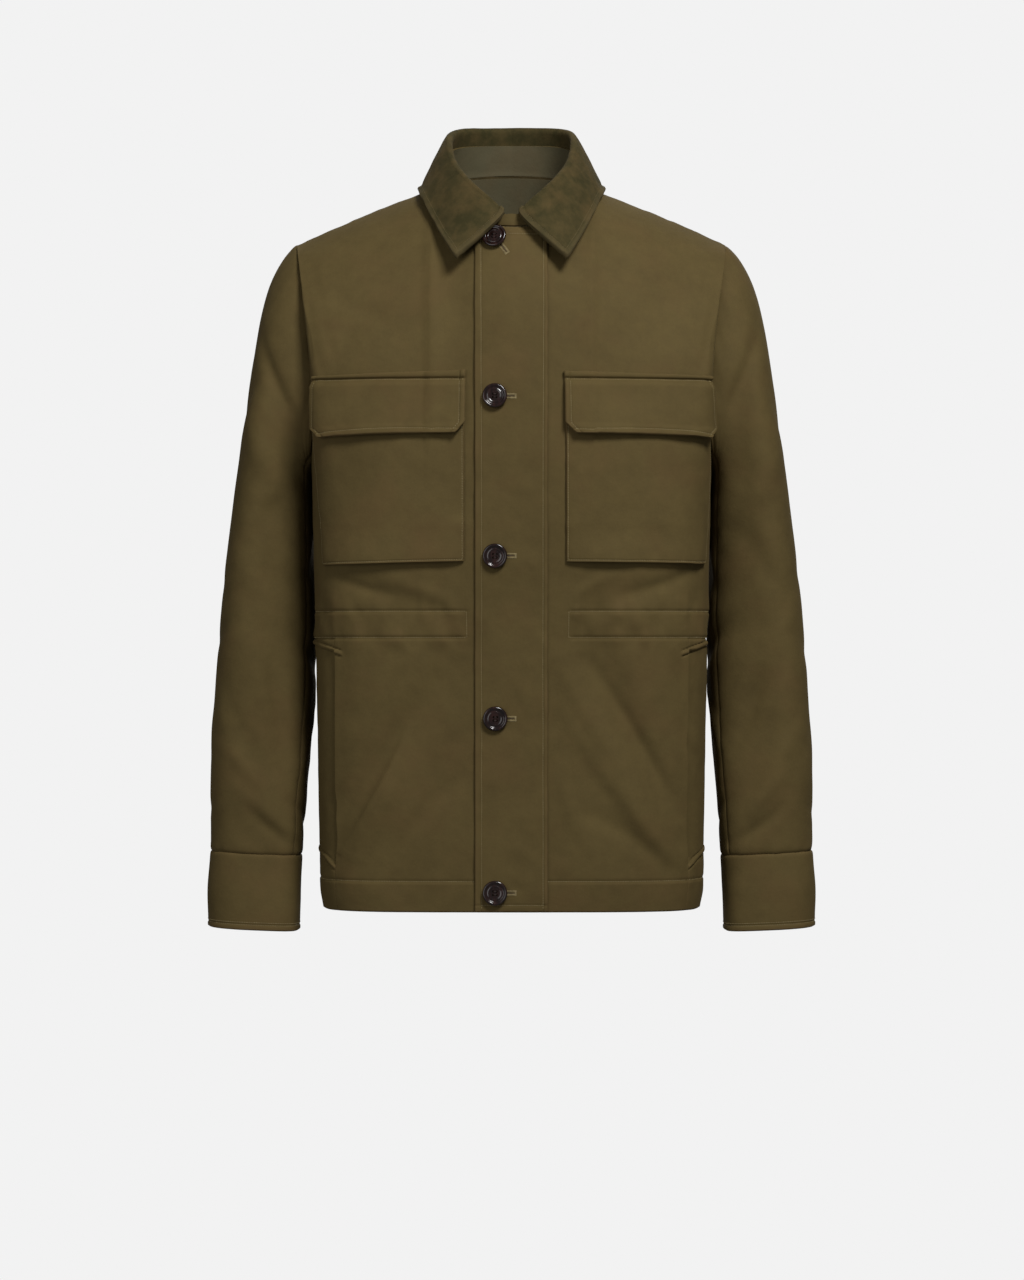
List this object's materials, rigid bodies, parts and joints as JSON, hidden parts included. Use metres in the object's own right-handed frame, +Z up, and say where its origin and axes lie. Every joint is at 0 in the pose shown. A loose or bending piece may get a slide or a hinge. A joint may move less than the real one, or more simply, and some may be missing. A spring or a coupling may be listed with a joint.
{
  "type": "field jacket",
  "caption": "Buttoned field jacket with turn-down collar, flapped chest pockets, waist casing and cuffed sleeves, holding a worn form.",
  "frame": {"origin": "centre of the neck opening, level with the side neck points, where a wearer or hanger holds the jacket", "axes": "+X towards the wearer's left, +Y towards the back, +Z up"},
  "size_m": [0.586, 0.2557, 0.7858],
  "materials": {
    "shell_cloth": "brushed fine twill, slight sheen",
    "collar_cloth": "short mottled nap",
    "lining_cloth": "smooth plain weave",
    "button_horn": "polished dark horn"
  },
  "bodies": {
    "root": {"front_right": "shell_cloth", "front_left": "shell_cloth", "back": "shell_cloth", "side_panel_right": "shell_cloth", "side_panel_left": "shell_cloth", "casing_front_right": "shell_cloth", "casing_front_left": "shell_cloth", "casing_back": "shell_cloth", "top_sleeve_right": "shell_cloth", "under_sleeve_right": "shell_cloth", "cuff_right": "shell_cloth", "top_sleeve_left": "shell_cloth", "under_sleeve_left": "shell_cloth", "cuff_left": "shell_cloth", "collar_leaf": "collar_cloth", "collar_stand": "lining_cloth", "neck_facing": "lining_cloth", "placket": "shell_cloth", "pocket_right": "shell_cloth", "pocket_left": "shell_cloth", "flap_right": "shell_cloth", "flap_left": "shell_cloth", "button_1": "button_horn", "button_2": "button_horn", "button_3": "button_horn", "button_4": "button_horn", "button_5": "button_horn"}
  },
  "joints": []
}
